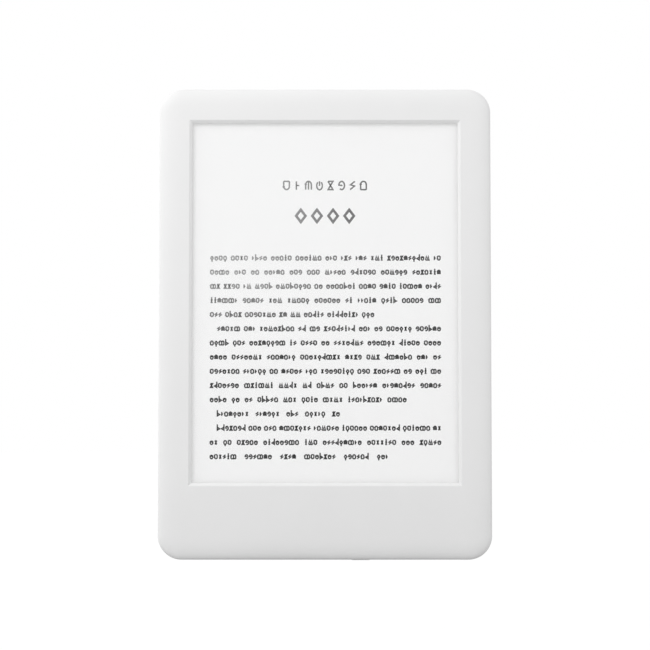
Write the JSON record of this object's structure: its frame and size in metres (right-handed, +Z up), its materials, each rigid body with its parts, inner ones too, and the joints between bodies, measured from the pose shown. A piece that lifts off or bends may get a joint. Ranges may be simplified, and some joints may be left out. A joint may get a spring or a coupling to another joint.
{
  "type": "e-reader",
  "caption": "Pocket e-reader with a recessed e-paper screen in a white plastic case, a charging socket and a spring-back power button in its bottom edge.",
  "frame": {"origin": "under the middle of the bottom edge, level with the tip of the power button, halfway through the depth", "axes": "+Z up the screen, +Y from the screen to the back, +X to the right across the screen"},
  "size_m": [0.113, 0.0088, 0.1603],
  "materials": {
    "white_shell": "matte",
    "white_button": "satin",
    "clear_layer": "satin",
    "e_paper": "matte",
    "black_foam": "matte",
    "black_plastic": "satin",
    "grey_plastic": "satin",
    "milky_plastic": "satin",
    "led_yellow": "gloss",
    "alloy": "matte",
    "steel": "satin",
    "tinplate": "satin",
    "green_board": "satin",
    "amber_film": "satin",
    "pouch_silver": "satin",
    "red_wire": "satin",
    "black_wire": "satin",
    "ferrite": "matte"
  },
  "bodies": {
    "case": {"antenna_cable": "black_wire", "antenna_socket": "tinplate", "battery_adhesive": "black_foam", "battery_cell": "pouch_silver", "battery_connector": "milky_plastic", "battery_lead_black": "black_wire", "battery_lead_red": "red_wire", "battery_plug": "milky_plastic", "battery_protection_board": "green_board", "bezel_adhesive": "black_foam", "board_screw_1": "steel", "board_screw_2": "steel", "board_screw_3": "steel", "charge_led": "led_yellow", "cover_sensor": "black_plastic", "display_connector": "grey_plastic", "display_driver_chip": "black_plastic", "display_ribbon": "amber_film", "dust_gasket": "black_foam", "epaper_panel": "e_paper", "frame_screw_1": "steel", "frame_screw_2": "steel", "frame_screw_3": "steel", "frame_screw_4": "steel", "frame_screw_5": "steel", "frame_screw_6": "steel", "frame_screw_7": "steel", "frame_screw_8": "steel", "front_bezel": "white_shell", "front_light_guide": "clear_layer", "front_light_led_1": "led_yellow", "front_light_led_2": "led_yellow", "front_light_led_3": "led_yellow", "front_light_led_4": "led_yellow", "front_light_strip": "amber_film", "led_light_pipe": "milky_plastic", "light_connector": "grey_plastic", "light_ribbon": "amber_film", "main_board": "green_board", "memory_chip": "black_plastic", "mid_frame": "alloy", "panel_adhesive": "black_foam", "power_chip": "black_plastic", "power_inductor_1": "ferrite", "power_inductor_2": "ferrite", "power_switch_body": "black_plastic", "processor_chip": "black_plastic", "processor_shield": "tinplate", "radio_chip": "black_plastic", "radio_shield": "tinplate", "rear_cover": "white_shell", "storage_chip": "black_plastic", "touch_connector": "grey_plastic", "touch_cover_layer": "clear_layer", "touch_ribbon": "amber_film", "usb_shell": "tinplate", "usb_tongue": "black_plastic", "wifi_antenna": "amber_film"},
    "power_button": {"power_button": "white_button"},
    "switch_plunger": {"power_switch_plunger": "milky_plastic"}
  },
  "joints": [
    {"name": "power_button_press", "type": "slide", "parent": "case", "child": "power_button", "axis": [0, 0, 1], "range_m": [0, 0.00025], "stiffness_N_per_m": 6000},
    {"name": "switch_plunger_press", "type": "slide", "parent": "case", "child": "switch_plunger", "axis": [0, 0, 1], "range_m": [0, 0.00025]}
  ],
  "couplings": [
    {"joint": "switch_plunger_press", "follows": "power_button_press", "ratio": 1}
  ]
}
